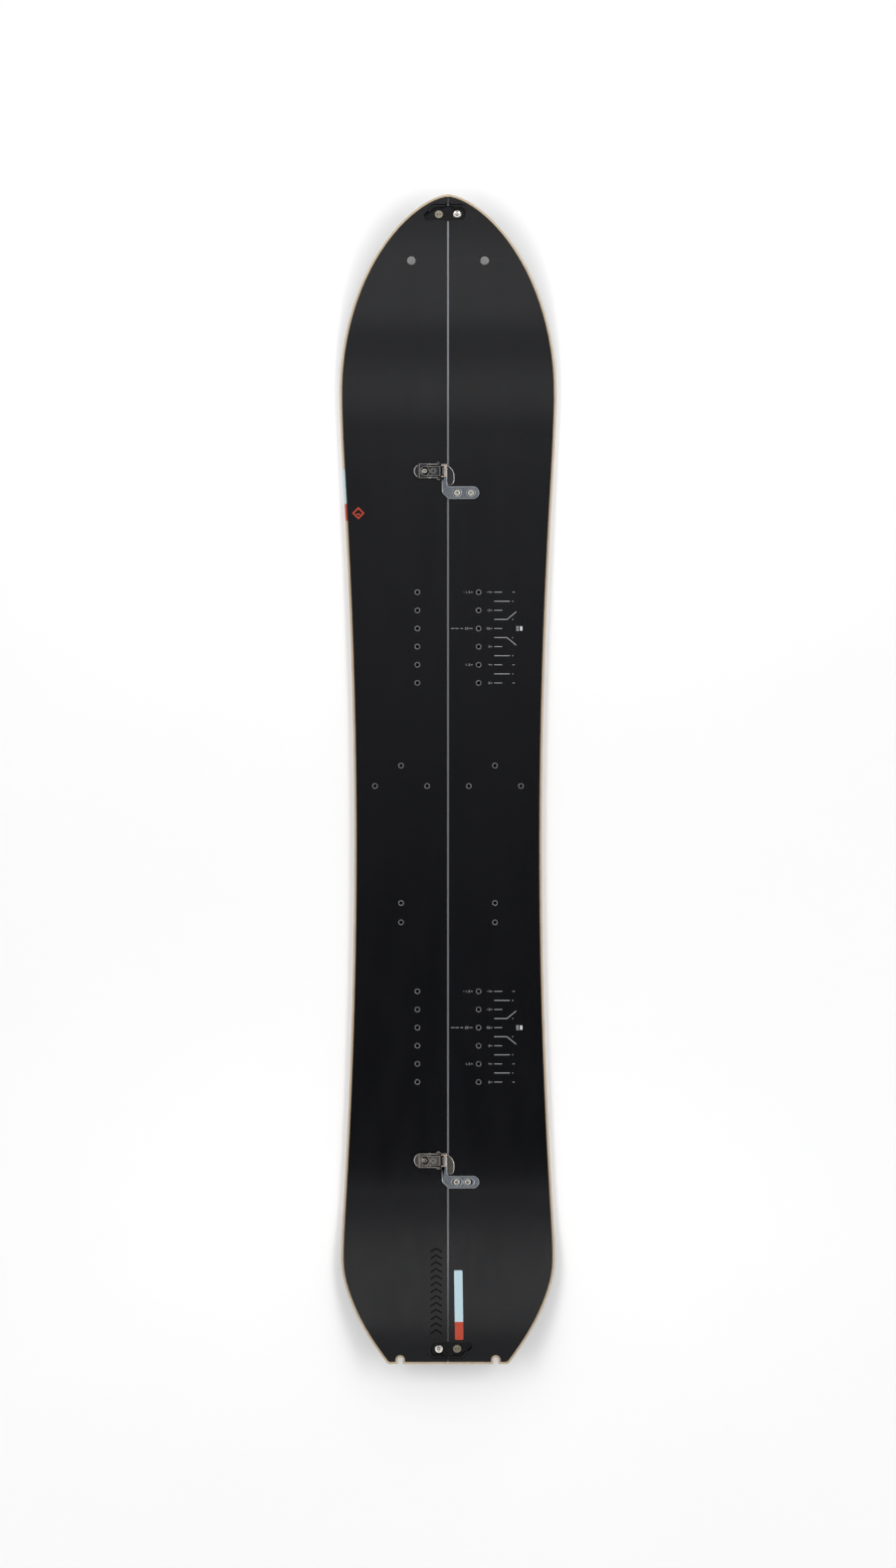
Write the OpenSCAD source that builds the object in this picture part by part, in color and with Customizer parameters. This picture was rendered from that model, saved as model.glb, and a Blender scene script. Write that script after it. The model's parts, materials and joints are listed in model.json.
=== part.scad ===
// Splitboard: a snowboard that parts along its middle into two skis.
// Frame: X across the board, Y along it towards the tip, Z up, origin under the middle of its length.
// Each half is a sandwich of base, glass, wood core, glass and topsheet, and it carries the clips.

/* [Board] */
// Length from tip to tail
board_len = 1630; // [1600:5:1660]
// Width at the waist
waist_w = 263; // [255:1:270]
// Radius of the sidecut
sidecut_r = 8240; // [7600:20:9200]
// Gap between the two closed halves
seam_gap = 0.4; // [0.2:0.1:1]
// Width of the bare border round the topsheet
border_w = 3.2; // [2.6:0.2:4]

/* [Thickness] */
// Sintered base sheet and steel edge depth under the glass
base_t = 1.3; // [1.1:0.1:1.6]
// Each glass laminate
glass_t = 0.7; // [0.5:0.1:0.9]
// Wood core under the feet
core_mid_t = 5.6; // [5:0.2:7]
// Core and spacers at the tip and tail
core_end_t = 1.4; // [1.2:0.2:2.4]
// Topsheet
top_t = 0.6; // [0.4:0.1:0.8]

/* [Side profile] */
// Distance from the middle to where the nose starts to rise
nose_flat = 456; // [450:2:470]
// Distance from the middle to where the tail starts to rise
tail_flat = 574; // [572:2:590]
// Radius of the early rise of the nose
rise_r = 1500; // [1300:50:1800]
// Radius of the nose kick
nose_kick_r = 680; // [600:20:800]
// Radius of the tail kick
tail_kick_r = 700; // [600:20:900]

/* [Inserts] */
// Pitch of the binding inserts along the board
insert_pitch = 25.4; // [25.4]
// Distance between the two columns of binding inserts
insert_cols = 85.7; // [85.7]
// Reference stance, between the middles of the two insert groups
stance = 558.8; // [540:0.8:580]
// Middle of the stance, behind the middle of the board
stance_mid = -80; // [-90:2:-70]
// Radius of an insert's bore, the root of an M6 thread
bore_r = 2.5; // [2.5]
// Pair spacing of the three-hole touring bracket pattern
touring_pair = 73; // [73]
// Step from that pair to the single hole
touring_step = 28.6; // [28.6]
// Spacing of the two heel riser inserts
riser_pitch = 27; // [27]

/* [Joiners] */
// Place of the front joiner's lever along the board
front_joiner_y = 432.5; // [428:0.5:434]
// Place of the rear joiner's lever along the board
rear_joiner_y = -532.5; // [-534:0.5:-528]
// Height of the lever's pivot above the topsheet
pivot_z = 5.5; // [5.5]
// Play round a turning pin, on the radius
running = 0.05; // [0.02:0.01:0.08]

/* [Tip and tail clips] */
// Station of the tip clip along the base
tip_clip_y = 792.6; // [788:0.2:794]
// Station of the tail clip along the base
tail_clip_y = -797.6; // [-799:0.2:-794]
// Distance between a clip's pivot and its post
clip_span = 25.4; // [25.4]

/* [Hidden] */
$fn = 48;

LEFT = -1;
RIGHT = 1;

base_color = "#1b1b1e";
edge_color = "#8d9094";
glass_color = "#b9bcae";
wood_color = "#c9a878";
sidewall_color = "#c0ab93";
seam_color = "#77787c";
topsheet_color = "#242529";
insert_color = "#b4b4b4";
nut_color = "#9a9a9a";
joiner_color = "#3a3c3f";
lever_color = "#4a4c50";
catch_color = "#73777d";
hook_color = "#a89a8e";
pin_color = "#8f8f90";
screw_color = "#b9ab98";
clip_color = "#1f1f22";
bronze_color = "#8b8578";
post_color = "#b9b9bb";

half_len = board_len / 2;
far = half_len + 60;

// Outline: sidecut arc, rounded nose and tapered tail, blended by a power mean.
waist_y = -92;
nose_len = 301;
nose_y = half_len - nose_len;
nose_half = 153.3;
nose_p = 1.574;
nose_q = 2.255;
tail_y = 204 - half_len;
tail_half = 155.7;
tail_len = 299.4;
tail_p = 0.8;
tail_q = 2.46;
blend_p = 60;
tail_corner_r = 8;

function clamp01(t) = min(1, max(0, t));
function side_w(y) = waist_w / 2 - 0.4 + pow(y - waist_y, 2) / (2 * sidecut_r);
function nose_w(y) = nose_half * pow(1 - pow(clamp01((y - nose_y) / nose_len), nose_q), 1 / nose_p);
function tail_w(y) = tail_half * pow(1 - pow(clamp01((tail_y - y) / tail_len), tail_q), 1 / tail_p);
function half_w(y) =
    pow(pow(side_w(y), -blend_p) + pow(nose_w(y), -blend_p) + pow(tail_w(y), -blend_p), -1 / blend_p);

nose_steps = 26;
side_steps = 30;
tail_steps = 20;
outline_ys = concat(
    [for (i = [0:tail_steps - 1]) -half_len + (tail_y + half_len) * i / tail_steps],
    [for (i = [0:side_steps - 1]) tail_y + (nose_y - tail_y) * i / side_steps],
    [for (i = [0:nose_steps]) nose_y + nose_len * sin(90 * i / nose_steps)]
);
last = len(outline_ys) - 1;
outline_points = concat(
    [for (i = [0:last]) [half_w(outline_ys[i]), outline_ys[i]]],
    [for (i = [last - 1:-1:0]) [-half_w(outline_ys[i]), outline_ys[i]]]
);

// Tail notches for the skins' tail clips.
notch_x = 66.7;
notch_w = 7;
notch_depth = 9.2;

// Side profile: flat underfoot, then an early rise and a kick at the nose, and one kick at the tail.
nose_rise_len = 106;
taper_start = 40;
taper_len = 165;
profile_step = 12;

// Sine of the slope, and the height, at a distance d past the flat.
// The early rise takes the first length l, and radius r takes the rest.
function arc_sin(d, l, r) = d <= 0 ? 0 : d < l ? d / rise_r : l / rise_r + (d - l) / r;
function arc_rise(d, l, r) =
    let (s = arc_sin(d, l, r), s1 = arc_sin(min(d, l), l, r))
    d <= 0 ? 0 : rise_r * (1 - sqrt(1 - s1 * s1)) + r * (sqrt(1 - s1 * s1) - sqrt(1 - s * s));
function past_flat(y) = y > 0 ? y - nose_flat : -y - tail_flat;
function slope_sin(y) = y > 0
    ? arc_sin(past_flat(y), nose_rise_len, nose_kick_r)
    : -arc_sin(past_flat(y), 0, tail_kick_r);
function slope(y) = asin(slope_sin(y));
function base_z(y) = y > 0
    ? arc_rise(past_flat(y), nose_rise_len, nose_kick_r)
    : arc_rise(past_flat(y), 0, tail_kick_r);
function ease(t) = t * t * (3 - 2 * t);
function core_t(y) =
    core_mid_t - (core_mid_t - core_end_t) * ease(clamp01((past_flat(y) - taper_start) / taper_len));

// Heights above the base at a station, named by the layer that lies over them.
UNDER = 0;
BASE_TOP = 1;
CORE_UNDER = 2;
CORE_TOP = 3;
GLASS_TOP = 4;
TOP = 5;
function level(i, y) =
    i == UNDER ? 0
    : i == BASE_TOP ? base_t
    : i == CORE_UNDER ? base_t + glass_t
    : i == CORE_TOP ? base_t + glass_t + core_t(y)
    : i == GLASS_TOP ? base_t + 2 * glass_t + core_t(y)
    : base_t + 2 * glass_t + core_t(y) + top_t;
function profile_point(i, y) =
    [y - level(i, y) * slope_sin(y), base_z(y) + level(i, y) * sqrt(1 - pow(slope_sin(y), 2))];

nose_stations = ceil((far - nose_flat) / profile_step);
tail_stations = ceil((far - tail_flat) / profile_step);
profile_ys = concat(
    [for (i = [tail_stations:-1:0]) -tail_flat - profile_step * i],
    [for (i = [0:nose_stations]) nose_flat + profile_step * i]
);
board_t = level(TOP, 0);

// ---- Placing ----

// Children stand on the underside at a station, with Z along the board's normal.
module on_base(y) {
    translate([0, y, base_z(y)]) rotate([slope(y), 0, 0]) children();
}

// Children stand on the topsheet at a station.
module on_top(y) {
    on_base(y) translate([0, 0, level(TOP, y)]) children();
}

// The slab between two levels, as wide as needed.
module band(lo, hi) {
    points = concat(
        [for (y = profile_ys) profile_point(lo, y)],
        [for (i = [len(profile_ys) - 1:-1:0]) profile_point(hi, profile_ys[i])]
    );
    rotate([90, 0, 90]) translate([0, 0, -200]) linear_extrude(height = 400) polygon(points);
}

module layer(lo, hi) {
    intersection() {
        translate([0, 0, -20]) linear_extrude(height = 160) children();
        band(lo, hi);
    }
}

// ---- Outlines, seen from above ----

module notches(grow = 0) {
    for (x = [-notch_x, notch_x]) translate([x, notch_depth - half_len]) {
        translate([0, -notch_w / 2]) circle(r = notch_w / 2 + grow);
        translate([-notch_w / 2 - grow, -notch_depth - 20])
            square([notch_w + 2 * grow, notch_depth + 20 - notch_w / 2]);
    }
}

module full_outline(inset = 0) {
    offset(delta = -inset) offset(r = tail_corner_r) offset(delta = -tail_corner_r) polygon(outline_points);
}

module notched_outline(inset = 0) {
    offset(delta = -inset) difference() {
        full_outline();
        notches();
    }
}

// One side of the seam, between two places along the board.
module beside_seam(inset = 0, y0 = -far, y1 = far) {
    translate([seam_gap / 2 + inset, y0]) square([200, y1 - y0]);
}

module mirrored(side) {
    mirror([side == LEFT ? 1 : 0, 0, 0]) children();
}

// ---- Insert and nut places, on the right half unless a side is named ----

binding_spots = [
    for (group = [-1, 1]) for (i = [-2.5:2.5])
        [insert_cols / 2, stance_mid + group * stance / 2 + i * insert_pitch]
];
touring_x = 65.7;
touring_y = -8.4;
riser_y = -185.8;
touring_spots = [
    [touring_x - touring_pair / 2, touring_y],
    [touring_x + touring_pair / 2, touring_y],
    [touring_x, touring_y + touring_step],
    [touring_x, riser_y - riser_pitch / 2],
    [touring_x, riser_y + riser_pitch / 2],
];
insert_spots = concat(binding_spots, touring_spots);
joiner_bolt_x = -32.4;
catch_y = -30.3;
front_catch_xs = [12.8, 32];
rear_catch_xs = [12.1, 27.5];
clip_stations = [tip_clip_y, tail_clip_y];

function nut_spots(side) = side == LEFT
    ? [[-joiner_bolt_x, front_joiner_y], [-joiner_bolt_x, rear_joiner_y]]
    : concat(
        [for (x = front_catch_xs) [x, front_joiner_y + catch_y]],
        [for (x = rear_catch_xs) [x, rear_joiner_y + catch_y]]
    );

insert_r = 4;
insert_flange_r = 8.5;
insert_flange_t = 1;
nut_r = 3.6;
nut_flange_r = 5.5;
nut_flange_t = 0.9;
nut_bore_r = 2.5;
shank_r = 2.4;

module at_spots(spots) {
    for (p = spots) translate([p[0], p[1], 0]) children();
}

// Everything that is drilled through the whole thickness.
tip_hole_x = 51.2;
tip_hole_y = 726.5;
tip_hole_r = 6;

module drilled(side) {
    on_base(tip_hole_y) translate([tip_hole_x, 0, -5]) cylinder(r = tip_hole_r, h = 20);
    at_spots(nut_spots(side)) translate([0, 0, -5]) cylinder(r = nut_r, h = 20);
    for (y = clip_stations) on_base(y) translate([clip_span / 2, 0, -5]) cylinder(r = nut_r, h = 20);
}

module insert_holes() {
    at_spots(insert_spots) translate([0, 0, base_t + glass_t]) cylinder(r = insert_r, h = 20);
}

module insert_flange_holes() {
    at_spots(insert_spots)
        translate([0, 0, base_t + glass_t - 1]) cylinder(r = insert_flange_r, h = insert_flange_t + 1);
}

// ---- The sandwich, drawn as the right half ----

edge_w = 2.2;
wall_w = 7;
seam_border = 1.1;
inner_wall_w = 6;
core_front = 530;
core_rear = -640;

module base_sheet(side) {
    color(base_color) difference() {
        layer(UNDER, BASE_TOP) intersection() {
            difference() {
                full_outline(edge_w);
                notches();
            }
            beside_seam(edge_w);
        }
        drilled(side);
        at_spots(nut_spots(side)) translate([0, 0, -1]) cylinder(r = nut_flange_r, h = nut_flange_t + 1.1);
        for (y = clip_stations) on_base(y)
            translate([clip_span / 2, 0, -1]) cylinder(r = nut_flange_r, h = nut_flange_t + 1.1);
    }
}

module outer_edge() {
    color(edge_color) layer(UNDER, CORE_UNDER) intersection() {
        difference() {
            full_outline();
            full_outline(edge_w);
            notches(3);
        }
        beside_seam(edge_w);
    }
}

module inner_edge() {
    color(edge_color) layer(UNDER, CORE_UNDER) intersection() {
        full_outline();
        translate([seam_gap / 2, -far]) square([edge_w, 2 * far]);
    }
}

module lower_glass(side) {
    color(glass_color) difference() {
        layer(BASE_TOP, CORE_UNDER) intersection() {
            difference() {
                full_outline(edge_w);
                notches();
            }
            beside_seam(edge_w);
        }
        drilled(side);
    }
}

module core(side) {
    color(wood_color) difference() {
        layer(CORE_UNDER, CORE_TOP) intersection() {
            full_outline(wall_w);
            beside_seam(inner_wall_w, core_rear, core_front);
        }
        drilled(side);
        insert_holes();
        insert_flange_holes();
    }
}

module outer_sidewall() {
    color(sidewall_color) layer(CORE_UNDER, CORE_TOP) intersection() {
        difference() {
            full_outline();
            full_outline(wall_w);
        }
        beside_seam(40, core_rear, core_front);
    }
}

module inner_sidewall() {
    color(seam_color) layer(CORE_UNDER, CORE_TOP)
        translate([seam_gap / 2, core_rear]) square([inner_wall_w, core_front - core_rear]);
}

module tip_spacer(side) {
    color(sidewall_color) difference() {
        layer(CORE_UNDER, CORE_TOP) intersection() {
            full_outline();
            beside_seam(0, core_front);
        }
        drilled(side);
    }
}

module tail_spacer(side) {
    color(sidewall_color) difference() {
        layer(CORE_UNDER, CORE_TOP) intersection() {
            notched_outline();
            beside_seam(0, -far, core_rear);
        }
        drilled(side);
    }
}

module upper_glass(side) {
    color(glass_color) difference() {
        layer(CORE_TOP, GLASS_TOP) intersection() {
            notched_outline(border_w);
            beside_seam(seam_border);
        }
        drilled(side);
        insert_holes();
    }
}

module topsheet(side) {
    color(topsheet_color) difference() {
        layer(GLASS_TOP, TOP) intersection() {
            notched_outline(border_w);
            beside_seam(seam_border);
        }
        drilled(side);
        insert_holes();
    }
}

// ---- Inserts and nuts ----

insert_floor = 1.2;
insert_rim = 0.1;

module threaded_inserts(spots) {
    color(insert_color) at_spots(spots) difference() {
        translate([0, 0, base_t + glass_t]) union() {
            cylinder(r = insert_flange_r, h = insert_flange_t);
            cylinder(r = insert_r, h = board_t - base_t - glass_t - insert_rim);
        }
        translate([0, 0, base_t + glass_t + insert_floor]) cylinder(r = bore_r, h = 20);
        translate([0, 0, board_t - insert_rim - 0.5]) cylinder(r1 = bore_r, r2 = bore_r + 0.6, h = 0.6);
    }
}

module tee_nut(thick) {
    difference() {
        union() {
            translate([0, 0, 0.1]) cylinder(r = nut_flange_r, h = nut_flange_t);
            translate([0, 0, 0.1]) cylinder(r = nut_r, h = thick - 0.3);
        }
        translate([0, 0, 0.8]) cylinder(r = nut_bore_r, h = 20);
    }
}

module tee_nuts(side) {
    color(nut_color) {
        at_spots(nut_spots(side)) tee_nut(board_t);
        for (y = clip_stations) on_base(y) translate([clip_span / 2, 0, 0]) tee_nut(level(TOP, y));
    }
}

// ---- Joiner: an over-centre draw latch across the seam, drawn with its lever along X at Y 0 ----

plate_t = 1.5;
pivot_x = -13.4;
pin_x = -25.5;
pin_z = 4.6;
rail_out = 10;
rail_in = 8.8;
arm_out = 8.5;
arm_in = 6.9;
tongue_out = 6.6;
ear_in = 10.25;
ear_out = 12;
ear_r = 4.4;
pivot_r = 1.5;
pin_r = 1.25;
lever_top = 9;
lever_skin = 1.5;
lever_end = -42.5;
slot_end = -28.8;
tongue_end = -11;
nose_r = 3.6;
hook_bar = [-5.5, -2.3];
lip = [-7.6, -5.8];

module extrude_y(y0, y1) {
    translate([0, y1, 0]) rotate([90, 0, 0]) linear_extrude(height = y1 - y0) children();
}

module both_sides() {
    children();
    mirror([0, 1, 0]) children();
}

module joiner_base() {
    color(joiner_color) difference() {
        union() {
            linear_extrude(height = plate_t) {
                translate([-37.5, 0]) circle(r = 10);
                translate([-37.5, -10]) square([36, 20]);
                translate([pivot_x - ear_r, -ear_out]) square([2 * ear_r, 2 * ear_out]);
                polygon([
                    [-7, 7], [1.5, 7], [6.2, 2], [8.7, -4], [8.7, -14], [7.4, -17.5], [4, -19.7],
                    [-7, -19.7],
                ]);
            }
            both_sides() extrude_y(ear_in, ear_out) {
                translate([pivot_x, pivot_z]) circle(r = ear_r);
                translate([pivot_x - ear_r, 0]) square([2 * ear_r, pivot_z]);
            }
        }
        translate([joiner_bolt_x, 0, -1]) cylinder(r = shank_r + 0.2, h = 4);
        translate([pivot_x, 20, pivot_z]) rotate([90, 0, 0]) cylinder(r = pivot_r + 0.01, h = 40);
    }
}

// Button head screw that ends inside its nut.
module button_screw(head_r, head_h, seat, depth) {
    difference() {
        union() {
            translate([0, 0, seat]) {
                cylinder(r = head_r, h = head_h * 0.4);
                translate([0, 0, head_h * 0.4]) cylinder(r1 = head_r, r2 = head_r * 0.62, h = head_h * 0.6);
            }
            translate([0, 0, -depth]) cylinder(r = shank_r, h = depth + seat);
        }
        translate([0, 0, seat + head_h * 0.35]) cylinder(r = head_r * 0.48, h = head_h, $fn = 6);
    }
}

module joiner_bolt() {
    color(screw_color) translate([joiner_bolt_x, 0, 0]) button_screw(4.75, 3.2, plate_t, 6.4);
}

module lever_side() {
    difference() {
        union() {
            polygon([
                [pivot_x, pivot_z - nose_r], [pivot_x, lever_top], [-40.3, lever_top], [lever_end, 7.2],
                [lever_end, 4.6], [-40.5, 2.6], [-36, pivot_z - nose_r],
            ]);
            translate([pivot_x, pivot_z]) circle(r = nose_r);
        }
        translate([pivot_x, pivot_z]) circle(r = pivot_r + running);
        translate([pin_x, pin_z]) circle(r = pin_r + 0.01);
    }
}

module joiner_lever() {
    color(lever_color) difference() {
        union() {
            both_sides() extrude_y(rail_in, rail_out) lever_side();
            translate([-40.3, -rail_out, lever_top - lever_skin])
                cube([slot_end + 40.3, 2 * rail_out, lever_skin]);
            translate([slot_end - 0.1, -tongue_out, lever_top - lever_skin])
                cube([tongue_end - slot_end + 0.1, 2 * tongue_out, lever_skin]);
            extrude_y(-rail_out, rail_out) polygon([
                [-40.3, lever_top], [lever_end, 7.2], [lever_end, 4.6], [-41, 4.6], [-41, 6.6], [-39.7, 7.5],
            ]);
        }
        translate([joiner_bolt_x, 0, 0]) cylinder(r = 6, h = 20);
        translate([-20.5, 0, lever_top - 0.4]) difference() {
            cylinder(r = 3.6, h = 1);
            translate([0, 0, -1]) cylinder(r = 2.6, h = 3);
        }
    }
}

module pivot_rivets() {
    color(pin_color) both_sides() translate([pivot_x, 0, pivot_z]) rotate([-90, 0, 0]) {
        translate([0, 0, rail_in - 0.1]) cylinder(r = pivot_r, h = ear_out - rail_in + 0.1);
        translate([0, 0, ear_out]) cylinder(r1 = 2.3, r2 = 1.6, h = 0.7);
    }
}

module hook_pin() {
    color(pin_color) translate([pin_x, 0, pin_z]) rotate([90, 0, 0]) {
        cylinder(r = pin_r, h = 2 * rail_out, center = true);
        for (flip = [0, 180]) rotate([flip, 0, 0])
            translate([0, 0, rail_out]) cylinder(r1 = 2, r2 = 1.4, h = 0.6);
    }
}

module draw_hook() {
    color(hook_color) difference() {
        union() {
            both_sides() extrude_y(arm_in, arm_out) {
                translate([pin_x, pin_z]) circle(r = 2.4);
                polygon([
                    [pin_x, pin_z - 1.2], [-8, 3.9], [hook_bar[1], 3.9], [hook_bar[1], 6.3], [-8, 6.3],
                    [pin_x, pin_z + 1.4],
                ]);
            }
            translate([hook_bar[0], -arm_out, 3.9]) cube([hook_bar[1] - hook_bar[0], 2 * arm_out, 2.4]);
        }
        translate([pin_x, 20, pin_z]) rotate([90, 0, 0]) cylinder(r = pin_r + running, h = 40);
    }
}

catch_t = 3.6;
catch_relief = 1.7;
catch_end_x = 43.6;
catch_half = 8.8;

module long_slot(x, long, r) {
    for (dx = [-0.5, 0.5]) translate([x + dx * long, catch_y]) circle(r = r);
    translate([x - long / 2, catch_y - r]) square([long, 2 * r]);
}

module catch_plate(slots, slot_long) {
    color(catch_color) difference() {
        union() {
            linear_extrude(height = catch_t) {
                translate([catch_end_x - catch_half, catch_y]) circle(r = catch_half);
                polygon([
                    [-8.5, -9], [-8.5, -28.5], [-7.6, -31], [0.7, catch_y - catch_half],
                    [catch_end_x - catch_half, catch_y - catch_half],
                    [catch_end_x - catch_half, catch_y + catch_half], [1.2, catch_y + catch_half],
                    [-0.6, catch_y + catch_half + 1.8], [-1.2, -15], [-1.2, 5.5], [-8.5, 5.5],
                ]);
            }
            translate([lip[0], -5, catch_t - 0.2]) cube([lip[1] - lip[0], 10, 3.8]);
        }
        translate([-20, catch_y + catch_half + 0.6, -1]) cube([21.5, 60, catch_relief + 1]);
        for (x = slots) {
            translate([0, 0, -1]) linear_extrude(height = 10) long_slot(x, slot_long, 2.8);
            translate([0, 0, catch_t - 1.9]) linear_extrude(height = 10) long_slot(x, slot_long, 4.8);
        }
    }
}

module cross_screw() {
    difference() {
        union() {
            translate([0, 0, catch_t - 1.85]) cylinder(r = 4.5, h = 1);
            translate([0, 0, catch_t - 0.85]) cylinder(r1 = 4.5, r2 = 3.4, h = 0.9);
            translate([0, 0, -6.4]) cylinder(r = shank_r, h = 6.4 + catch_t - 1.8);
        }
        for (a = [0, 90]) rotate([0, 0, a]) translate([-2.6, -0.55, catch_t - 1.3]) cube([5.2, 1.1, 3]);
    }
}

module catch_screws(xs) {
    color(screw_color) for (x = xs) translate([x, catch_y, 0]) cross_screw();
}

module at_joiner(y) {
    translate([0, y, board_t]) children();
}

// ---- Tip and tail clip: an arm that turns on one ski's pivot and hooks the other ski's post ----

pad_t = 3;
pad_lift = 0.15;
pad_half = 11;
arm_z = pad_t + pad_lift + 0.1;
clip_arm_t = 3.5;
arm_top = arm_z + clip_arm_t;
shoulder_r = 4;
head_r = 5.6;
post_x = clip_span / 2;
hook_turn = 60;

module clip_pad(side) {
    color(clip_color) mirrored(side) translate([0, 0, pad_lift]) difference() {
        linear_extrude(height = pad_t) intersection() {
            union() {
                translate([14, 0]) circle(r = 12.4);
                translate([0, -pad_half]) square([14, 2 * pad_half]);
            }
            translate([seam_gap, -pad_half]) square([40, 2 * pad_half]);
        }
        translate([post_x, 0, -1]) cylinder(r = shank_r + 0.2, h = 10);
    }
}

// The path that the post takes through the arm as the arm opens, as a slot of the given half width.
module post_path(r, h) {
    translate([post_x, 0, 0]) cylinder(r = r, h = h);
    translate([-post_x, 0, 0]) rotate_extrude(angle = hook_turn, $fn = 96)
        translate([clip_span - r, 0]) square([2 * r, h]);
}

module clip_arm() {
    color(clip_color) difference() {
        union() {
            translate([0, 0, arm_z]) linear_extrude(height = clip_arm_t) {
                translate([-post_x, 0]) circle(r = 8.2);
                circle(r = 10.4);
                translate([post_x, 0]) circle(r = 9.2);
                translate([-post_x, -8]) square([clip_span, 14]);
                polygon([[-17, 5.8], [-29.5, -1.2], [-33.4, -5.4], [-31.6, -9.8], [-25, -9.4], [-13, -8.1]]);
            }
            translate([0, 0, arm_top - 0.1]) cylinder(r = 10.4, h = 0.9);
            translate([0, 0, arm_top - 0.1]) linear_extrude(height = 2.2)
                polygon([
                    [-28.6, -1.7], [-33.4, -5.4], [-31.6, -9.8], [-29.2, -9.7], [-30.4, -5.8],
                    [-27, -3.2],
                ]);
        }
        translate([-post_x, 0, 0]) cylinder(r = shoulder_r + running, h = 20);
        translate([-post_x, 0, arm_top]) cylinder(r = head_r + 0.4, h = 20);
        post_path(shoulder_r + 0.2, 20);
        translate([0, 0, arm_top]) post_path(head_r + 0.4, 20);
        translate([0, 0, arm_top + 0.4]) difference() {
            cylinder(r = 4.6, h = 2);
            translate([0, 0, -1]) cylinder(r = 3.4, h = 4);
        }
    }
}

module shoulder_bolt(thick) {
    cylinder(r = shoulder_r, h = arm_top - pad_t - pad_lift + 0.1);
    translate([0, 0, -pad_t - pad_lift - thick + 1.4]) cylinder(r = shank_r, h = pad_t + thick);
}

module clip_pivot_bolt(thick) {
    color(bronze_color) translate([-post_x, 0, pad_t + pad_lift]) difference() {
        union() {
            shoulder_bolt(thick);
            translate([0, 0, arm_top - pad_t - pad_lift + 0.1]) cylinder(r = head_r, h = 1.7);
        }
        for (x = [-2, 2]) translate([x, 0, arm_top - pad_t - pad_lift + 0.6]) cylinder(r = 0.8, h = 4);
    }
}

module clip_post_bolt(thick) {
    color(post_color) translate([post_x, 0, pad_t + pad_lift]) difference() {
        union() {
            shoulder_bolt(thick);
            translate([0, 0, arm_top - pad_t - pad_lift + 0.1]) {
                cylinder(r = head_r, h = 1.2);
                translate([0, 0, 1.2]) cylinder(r1 = head_r, r2 = head_r * 0.66, h = 1.6);
            }
        }
        translate([0, 0, arm_top - pad_t - pad_lift + 1]) cylinder(r = 2.5, h = 5, $fn = 6);
    }
}

module at_tip_clip() {
    on_top(tip_clip_y) children();
}

module at_tail_clip() {
    on_top(tail_clip_y) rotate([0, 0, 180]) children();
}

tip_t = level(TOP, tip_clip_y);
tail_t = level(TOP, tail_clip_y);

// ---- Nodes ----

for (side = [LEFT, RIGHT]) {
    name = side == LEFT ? "left" : "right";
    mirrored(side) {
        base_sheet(side);
        outer_edge();
        inner_edge();
        lower_glass(side);
        core(side);
        outer_sidewall();
        inner_sidewall();
        tip_spacer(side);
        tail_spacer(side);
        upper_glass(side);
        topsheet(side);
        threaded_inserts(binding_spots);
        threaded_inserts(touring_spots);
        tee_nuts(side);
    }
}

for (end = ["front", "rear"]) {
    place = end == "front" ? front_joiner_y : rear_joiner_y;
    screws = end == "front" ? front_catch_xs : rear_catch_xs;
    slots = end == "front" ? screws : [screws[0], screws[1] + 1.6];
    slot_long = end == "front" ? 1.4 : 4.4;
    at_joiner(place) {
        joiner_base();
        joiner_bolt();
        joiner_lever();
        pivot_rivets();
        draw_hook();
        hook_pin();
        catch_plate(slots, slot_long);
        catch_screws(screws);
    }
}

at_tip_clip() {
    clip_pad(LEFT);  // tip_clip_pivot_pad
    clip_pad(RIGHT);  // tip_clip_post_pad
    clip_arm();  // tip_clip_arm
    clip_pivot_bolt(tip_t);  // tip_clip_pivot_bolt
    clip_post_bolt(tip_t);  // tip_clip_post_bolt
}

at_tail_clip() {
    clip_pad(LEFT);  // tail_clip_pivot_pad
    clip_pad(RIGHT);  // tail_clip_post_pad
    clip_arm();  // tail_clip_arm
    clip_pivot_bolt(tail_t);  // tail_clip_pivot_bolt
    clip_post_bolt(tail_t);  // tail_clip_post_bolt
}
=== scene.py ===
"""A splitboard lying on a pale studio floor, seen from straight above, tip up."""
import json
import math

import bmesh
import bpy
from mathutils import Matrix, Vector
from mathutils.bvhtree import BVHTree


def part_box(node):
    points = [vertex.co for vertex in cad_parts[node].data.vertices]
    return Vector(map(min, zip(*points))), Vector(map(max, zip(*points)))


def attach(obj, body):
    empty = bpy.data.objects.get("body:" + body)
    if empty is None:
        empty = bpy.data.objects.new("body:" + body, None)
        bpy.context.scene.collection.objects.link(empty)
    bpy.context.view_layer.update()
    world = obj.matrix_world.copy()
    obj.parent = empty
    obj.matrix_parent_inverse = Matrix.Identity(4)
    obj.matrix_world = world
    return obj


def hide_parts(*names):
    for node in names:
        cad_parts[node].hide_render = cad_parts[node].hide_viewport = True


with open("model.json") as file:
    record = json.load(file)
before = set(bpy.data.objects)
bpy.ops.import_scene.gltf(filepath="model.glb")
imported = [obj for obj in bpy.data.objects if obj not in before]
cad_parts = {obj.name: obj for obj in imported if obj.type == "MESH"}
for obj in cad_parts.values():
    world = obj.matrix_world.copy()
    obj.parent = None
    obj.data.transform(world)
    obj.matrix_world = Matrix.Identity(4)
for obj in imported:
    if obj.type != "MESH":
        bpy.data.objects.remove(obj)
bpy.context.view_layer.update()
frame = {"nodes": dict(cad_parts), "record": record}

MM = 0.001
SIDES = {"left": -1, "right": 1}
ENDS = ("front", "rear")
BOARD = "board"
MERGE = 2e-6
INK_LIFT = 0.06 * MM
RAY_FROM = 0.5
SIDEWALL_ROUND = 0.7

CREAM = (0.45, 0.345, 0.24)
CREAM_LIGHT = (0.52, 0.405, 0.29)

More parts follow.
